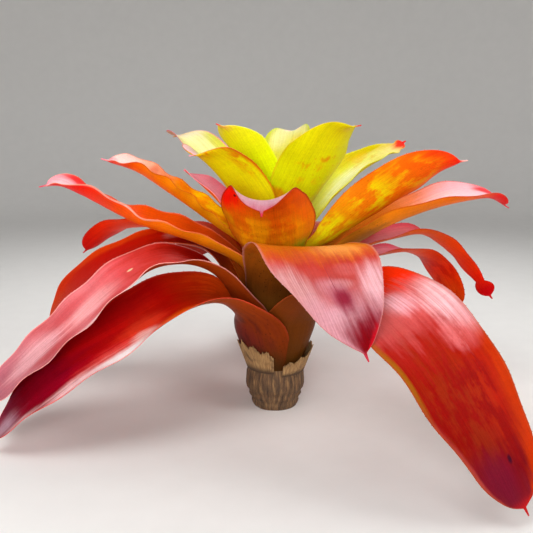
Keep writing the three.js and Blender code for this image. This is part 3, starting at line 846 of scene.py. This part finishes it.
        ("soft", (0.71, 0.72), (0.014, 0.05), 0x270707, 0.9),
        ("spots", (0.5, 0.3), (0.5, 1), 0x9f270e, 0.5),
    ]),
    "middle_leaf_16": dict(root=0x9a9512, tip=0xf8c5bc, edge=0xde4712, edge_strength=0.4, top={
        0: 0xcf9f20, 0.5: 0xe3782f, 0.85: 0xf8b8a6, 1: 0xf8d0c8,
    }, under={
        0: 0xcfc10f, 0.2: 0xdc980c, 0.4: 0xe87c0a, 0.6: 0xe87008, 0.8: 0xec5808, 0.9: 0xf0400c,
        0.96: 0xf01a10, 1: 0xf63420,
    }, under_patches=[
        ("blotch", (0.18, 0), (0.26, 1.5), 0xe4dc0a, 1),
        ("blotch", (0.36, 0.5), (0.06, 0.7), 0xe07a08, 0.9),
        ("blotch", (0.5, 0.35), (0.16, 0.9), 0xe8cc0a, 1),
        ("blotch", (0.72, 0.2), (0.16, 1), 0xecb00a, 0.9),
        ("spots", (0.4, 0), (0.5, 1.2), 0xd9420d, 0.6),
    ]),
    "middle_leaf_17": dict(root=0x8b660e, tip=0xf67d90, edge=0xc85018, wave=(2.0, 26), top={
        0: 0xc07010, 0.2: 0xdc8408, 0.35: 0xec9808, 0.48: 0xf08c08, 0.56: 0xe87010, 0.62: 0xec8850,
        0.72: 0xf4a080, 0.82: 0xf8b4a0, 0.93: 0xf8c4bc, 1: 0xf08c98,
    }, top_patches=[
        ("blotch", (0.36, 0.5), (0.28, 1.1), 0xf0cc08, 1),
        ("soft", (0.62, 0.5), (0.05, 0.5), 0xe85020, 0.6),
        ("soft", (0.71, 0.7), (0.03, 0.3), 0xe05828, 0.5),
        ("blotch", (0.53, 0.5), (0.08, 0.8), 0xe0600c, 0.6),
        # The pale pink streak near the tip is painted sheen: partly the waxy bloom of the leaf, partly
        # painted highlight.
        ("streak", (0.85, 0), (0.08, 1.2), 0xfbd8d4, 0.8),
    ], under={
        0: 0xc88c10, 0.3: 0xe09c0c, 0.5: 0xee940c, 0.75: 0xf47c0c, 0.88: 0xf2500e, 1: 0xf05e5e,
    }, under_patches=[
        ("blotch", (0.3, 0.2), (0.28, 1), 0xe0cc0c, 0.85),
        ("soft", (0.6, 0.9), (0.25, 0.25), 0xf06a0c, 0.6),
    ]),
    "inner_leaf_18": dict(root=0x898919, tip=0xe71724, edge=0xdee722, top={
        0: 0xcfc61e, 0.3: 0xdddd56, 0.55: 0xd9d431, 0.75: 0xdcd464, 0.88: 0xe7cd74, 0.95: 0xe73b24,
        1: 0xe71414,
    }, top_patches=[
        # The pale cream streak down the middle is painted sheen: partly the waxy bloom of the leaf, partly
        # painted highlight.
        ("streak", (0.45, 0.1), (0.24, 0.5), 0xe8e8a8, 0.95),
        ("soft", (0.7, -0.8), (0.24, 0.42), 0xc4b008, 1),
        ("soft", (0.5, 0.85), (0.2, 0.3), 0xc8c410, 0.8),
        ("blotch", (0.68, -0.3), (0.16, 0.7), 0xd9aa10, 0.6),
        ("soft", (0.22, 0.7), (0.08, 0.3), 0xd93f10, 0.7),
    ], under={
        0: 0xbdb315, 0.5: 0xd4dd10, 0.85: 0xe2d410, 0.95: 0xe75c1d, 1: 0xe71414,
    }),
    "middle_leaf_19": dict(root=0x896e17, tip=0xfc809a, edge=0xfc9fb3, top={
        0: 0xd88339, 0.5: 0xf06078, 1: 0xf88098,
    }, top_patches=[
        ("streak", (0.7, 0), (0.3, 1), 0xfc98b0, 0.6),
    ], under={
        0: 0xbd8e15, 0.5: 0xfc8014, 1: 0xfc4921,
    }),
    "inner_leaf_20": dict(root=0x7d8613, tip=0xe1a030, edge=0xe8708c, edge_strength=0.9, top={
        0: 0xc1bc1d, 0.5: 0xd4d848, 0.8: 0xdcd484, 0.9: 0xe4d0a4, 1: 0xe1b41d,
    }, top_patches=[
        # The pale cream streak is painted sheen: partly the waxy bloom of the leaf, partly painted highlight.
        ("streak", (0.7, 0.2), (0.25, 0.6), 0xe4dc98, 0.8),
        ("soft", (0.72, 0.85), (0.2, 0.3), 0xc8c420, 0.7),
        ("soft", (0.92, -0.6), (0.07, 0.5), 0xe890a8, 0.8),
    ], under={
        0: 0x9ca60f, 0.5: 0xcfd80d, 1: 0xe19f8e,
    }),
    "inner_leaf_21": dict(root=0x848f11, tip=0xe394a5, edge=0xd85a0e, edge_strength=0.8, top={
        # The pale pinks at 0.9 and 1 are painted sheen on the curled-back tip: partly the leaf's own colour,
        # partly painted highlight.
        0: 0xc3ba16, 0.5: 0xe3df3b, 0.9: 0xe3b1b5, 1: 0xe3c2c2,
    }, under={
        0: 0xb0b50d, 0.3: 0xe0e00d, 0.7: 0xe8e40b, 0.94: 0xe3c00a, 1: 0xe39da6,
    }, under_patches=[
        ("soft", (0.7, -1.02), (0.3, 0.14), 0xd86408, 0.9),
        ("blotch", (0.7, -0.9), (0.24, 0.36), 0xdc7407, 0.85),
        ("blotch", (0.9, -0.6), (0.1, 0.4), 0xdc7007, 0.8),
        ("blotch", (0.5, 0.3), (0.1, 0.4), 0xdc8c0a, 0.6),
        ("spots", (0.55, 0.3), (0.4, 1), 0xd88a0c, 0.7),
    ]),
    "inner_leaf_22": dict(root=0x8a9916, tip=0xf88a9c, edge=0xc8d838, top={
        0: 0xd5d521, 0.4: 0xdadf2b, 0.65: 0xdcd444, 0.9: 0xe0d88c, 0.97: 0xf8c1b8, 1: 0xf89ca4,
    }, top_patches=[
        ("soft", (0.68, 0.3), (0.18, 0.35), 0xd4b412, 0.7),
        # The pale cream streak is painted sheen: partly the waxy bloom of the leaf, partly painted highlight.
        ("streak", (0.8, -0.5), (0.16, 0.4), 0xece49c, 0.8),
        ("soft", (0.7, -1.0), (0.25, 0.25), 0xb8c418, 0.8),
        ("soft", (0.7, 1), (0.25, 0.25), 0xb8c418, 0.8),
    ], under={
        0: 0xadb712, 0.5: 0xe4ee10, 1: 0xf8e5ad,
    }),
    "inner_leaf_23": dict(root=0x808f11, tip=0xe01b20, edge=0xe0c41a, top={
        # The near-white stops at 0.9 and 1 are painted sheen on the curled-back tip: partly the leaf's own
        # colour, partly painted highlight.
        0: 0xc3ba16, 0.5: 0xe3e33b, 0.9: 0xe3dbc7, 1: 0xe3e0db,
    }, under={
        0: 0xb0b80c, 0.3: 0xccdc08, 0.7: 0xdce008, 0.95: 0xdcd00a, 0.985: 0xe35314, 1: 0xe31b1b,
    }, under_patches=[
        ("blotch", (0.55, 0.35), (0.05, 0.45), 0xd88008, 0.85),
        ("blotch", (0.62, -0.05), (0.04, 0.3), 0xd88008, 0.85),
        ("blotch", (0.43, 0.15), (0.05, 0.35), 0xd89008, 0.7),
        ("soft", (0.26, 0.75), (0.06, 0.3), 0xd87008, 0.7),
        ("spots", (0.5, 0), (0.4, 1), 0xd87f0f, 0.6),
    ]),
    "inner_leaf_24": dict(root=0x7e8d11, tip=0xe14545, edge=0xf0f048, top={
        # The near-white stops at 0.9 and 1 are painted sheen on the curled-back tip: partly the leaf's own
        # colour, partly painted highlight.
        0: 0xc1b816, 0.5: 0xe1e13a, 0.9: 0xe1d0c0, 1: 0xe1d5cd,
    }, under={
        0: 0xc0c80c, 0.25: 0xe0f00a, 0.6: 0xe8f40c, 0.88: 0xece81c, 0.95: 0xe1a94f, 1: 0xe1534f,
    }, under_patches=[
        ("spots", (0.5, 0), (0.3, 1), 0xe1b20e, 0.5),
    ]),
    "heart_leaf_25": dict(root=0x70800f, tip=0xc05030, edge=0xa8a828, top={
        0: 0x909c18, 1: 0xb0b830,
    }, under={
        0: 0x7c8c10, 1: 0xa0ac20,
    }),
    "heart_leaf_26": dict(root=0x688010, tip=0xc06040, edge=0xa0a828, top={
        0: 0x88981a, 1: 0xa8b42c,
    }, under={
        0: 0x748c10, 1: 0x98ac20,
    }),
}


def make_leaf(leaf, rank):
    node = f"{leaf['group']}_leaf_{rank + 1:02d}"
    look = LOOK_DEFAULTS | LOOKS[node]
    grid, u, t, distance, half = leaf_surface(LEAF_DEFAULTS | leaf, rank)
    grid = waved(grid, u, t, distance, rank, look)
    vertices, faces = sheet_mesh(grid, blend(LEAF_THICKNESS, MARGIN_THICKNESS, t * t))
    vertices, faces, parents = add_teeth(vertices, faces, grid, distance, distance[SHEATH_ROWS])
    fields = sheet_fields(u, t, distance, half[:, None] * t)
    place, measure = (np.vstack([field, field[parents]]) for field in fields)
    material = leaf_material(node + "_skin", look, float(rank * 13 % 40))
    obj = make_object(node + "_blade", vertices, faces, {"leaf_place": place, "leaf_mm": measure}, material)
    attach(obj, "root")
    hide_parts(node)


# The torn top edge of a stub, in shares of its height: the first three are those of part.mjs
TEAR_MIDDLE = 0.72
TEAR_SWING = 0.2
TEAR_JAGS = [-0.06, 0.14] * 5 + [-0.06]
TEAR_FRINGE = (-0.07, 0.03)

# A stub's ripple and the width of its fibres' pattern, in millimetres, and how much thinner its top is
STUB_RIPPLE = 0.35
STUB_PATTERN_WIDTH = 30
STUB_THINNING = 0.3


def make_stub(index, azimuth, height, material):
    """A torn sheath with a ragged, rippled top edge."""
    rng = np.random.default_rng(20 + index)
    t = np.linspace(-1, 1, STUB_COLUMNS + 1)
    share = np.linspace(0, 1, STUB_ROWS)
    jags = np.interp(t, np.linspace(-1, 1, len(TEAR_JAGS)), TEAR_JAGS) * (1 - 0.4 * t * t)
    tear = TEAR_MIDDLE + TEAR_SWING * np.cos(1.9 * t + index) + jags + rng.uniform(*TEAR_FRINGE, len(t))
    grid = np.array([[sheath_point(-1 - index, azimuth - place * STUB_WRAP, height * top * row)
                      for place, top in zip(t, tear)] for row in share])
    ripple = STUB_RIPPLE * np.sin(9 * t + index) * share[:, None] ** 2
    grid += unit(grid * [1, 1, 0]) * ripple[..., None]
    vertices, faces = sheet_mesh(grid, STUB_THICKNESS * (1 - STUB_THINNING * share[:, None]))
    place, measure = sheet_fields(share, t, share * height, t * STUB_PATTERN_WIDTH, 5 * index)
    fields = {"leaf_place": place, "leaf_mm": measure}
    obj = make_object(f"dry_stub_{index + 1}_torn", vertices, faces, fields, material)
    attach(obj, "root")
    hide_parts(f"dry_stub_{index + 1}")


# The stem's rough skin, which ends above the collar
SKIN_DEPTH = 0.05
SKIN_TOP = STEM_COLLAR_HEIGHT + 6


def stem_side():
    """Radii and heights up the stem's side: the rings of leaf scars, then the cone in the sheaths."""
    marks = 2 * SCAR_COUNT
    side = []
    for k in range(marks + 1):
        relief = 0 if k in (0, marks) else SCAR_DEPTH * (1 if k % 2 else -1)
        radius = blend(STEM_FOOT_RADIUS, STEM_COLLAR_RADIUS, k / marks) + relief
        side.append((radius, STEM_COLLAR_HEIGHT * k / marks))
    for rank in (-len(STUBS), 0, LEAF_COUNT - 1):
        radius, height, _, _ = root_of(rank)
        side.append((radius - ROOT_CLEARANCE, height))
    return side


def make_stem():
    """The stem turned finer than its solid, with rings of leaf scars and a rough skin."""
    radii, heights = zip(*stem_side())
    foot = [(STEM_FOOT_RADIUS * k / 6, 0) for k in range(7)]
    side = [(float(np.interp(h, heights, radii)), h) for h in np.linspace(0.4, heights[-1], STEM_RINGS)]
    rng = np.random.default_rng(4)
    waves = [(int(rng.integers(5, 30)), rng.uniform(0, 6.28), rng.uniform(0.2, 1.2)) for _ in range(8)]

    def skin(angle, height):
        if not 0 < height < SKIN_TOP:
            return 0
        return sum(math.sin(n * angle + phase + twist * height) for n, phase, twist in waves) * SKIN_DEPTH

    vertices, faces = lathe(foot + side + [(0, STEM_TOP_HEIGHT)], STEM_SIDES, skin)
    obj = make_object("stem_core", vertices, faces, {}, stem_material(), 35)
    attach(obj, "root")
    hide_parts("stem")


# The photograph's camera, in millimetres, degrees and pixels
CAMERA_TARGET = np.array([-8, 0, 130])
CAMERA_DISTANCE = 650
CAMERA_ELEVATION = 12
FOCAL_PIXELS = 722
PHOTO_PIXELS = 533

# The floor, a disc that bends up into a round wall and is seen from inside, in millimetres
FLOOR_RADIUS = 1300
FLOOR_BEND = 500
FLOOR_SIDES = 64
BEND_RINGS = 16
WALL_HEIGHT = 2400

# Lights: name, place and width in metres, power in watts
LIGHTS = [
    ("key", (-0.45, -0.5, 1.1), 0.7, 2.4),
    ("front", (-0.15, -1.25, 0.42), 0.7, 4.5),
    ("side", (0.9, -0.4, 0.7), 0.6, 1.7),
    ("back", (0.1, 0.8, 0.9), 0.9, 2.2),
]
LIGHT_SPREAD = 110
SKY_COLOUR = (0.9, 0.92, 0.95, 1)
SKY_STRENGTH = 0.4


def make_camera():
    elevation = math.radians(CAMERA_ELEVATION)
    data = bpy.data.cameras.new("camera")
    data.sensor_width = 36
    data.lens = FOCAL_PIXELS / PHOTO_PIXELS * data.sensor_width
    data.clip_start = 0.01
    camera = bpy.data.objects.new("camera", data)
    away = CAMERA_DISTANCE * np.array([0, -math.cos(elevation), math.sin(elevation)])
    camera.location = (CAMERA_TARGET + away) * MM
    camera.rotation_euler = (math.pi / 2 - elevation, 0, 0)
    scene.collection.objects.link(camera)
    scene.camera = camera


def make_floor():
    rising = np.linspace(0.1, math.pi / 2, BEND_RINGS)
    profile = [(0, 0), (FLOOR_RADIUS, 0)]
    profile += [(FLOOR_RADIUS + FLOOR_BEND * math.sin(a), FLOOR_BEND * (1 - math.cos(a))) for a in rising]
    profile += [(FLOOR_RADIUS + FLOOR_BEND, WALL_HEIGHT)]
    vertices, faces = lathe(profile, FLOOR_SIDES)
    inward = [face[:1] + face[:0:-1] for face in faces]
    make_object("floor", vertices, inward, {}, floor_material(), 60)


def turn_along(aim):
    """The turn that points a light's -Z along aim."""
    x, y, z = aim / np.linalg.norm(aim)
    return (math.acos(-z), 0, math.atan2(y, x) - math.pi / 2)


def make_lights():
    """Soft round lights and an even sky."""
    for name, place, width, power in LIGHTS:
        data = bpy.data.lights.new(name, "AREA")
        data.shape = "DISK"
        data.size = width
        data.energy = power
        data.spread = math.radians(LIGHT_SPREAD)
        light = bpy.data.objects.new(name, data)
        light.location = place
        light.rotation_euler = turn_along(CAMERA_TARGET * MM - np.array(place))
        scene.collection.objects.link(light)
    world = bpy.data.worlds.new("studio")
    world.use_nodes = True
    background = world.node_tree.nodes["Background"]
    background.inputs["Color"].default_value = SKY_COLOUR
    background.inputs["Strength"].default_value = SKY_STRENGTH
    scene.world = world
    scene.view_settings.view_transform = "Standard"


make_stem()
dry = stub_material()
for number, stub_place in enumerate(STUBS):
    make_stub(number, *stub_place, dry)
for number, leaf_values in enumerate(LEAVES):
    make_leaf(leaf_values, number)
make_camera()
make_floor()
make_lights()
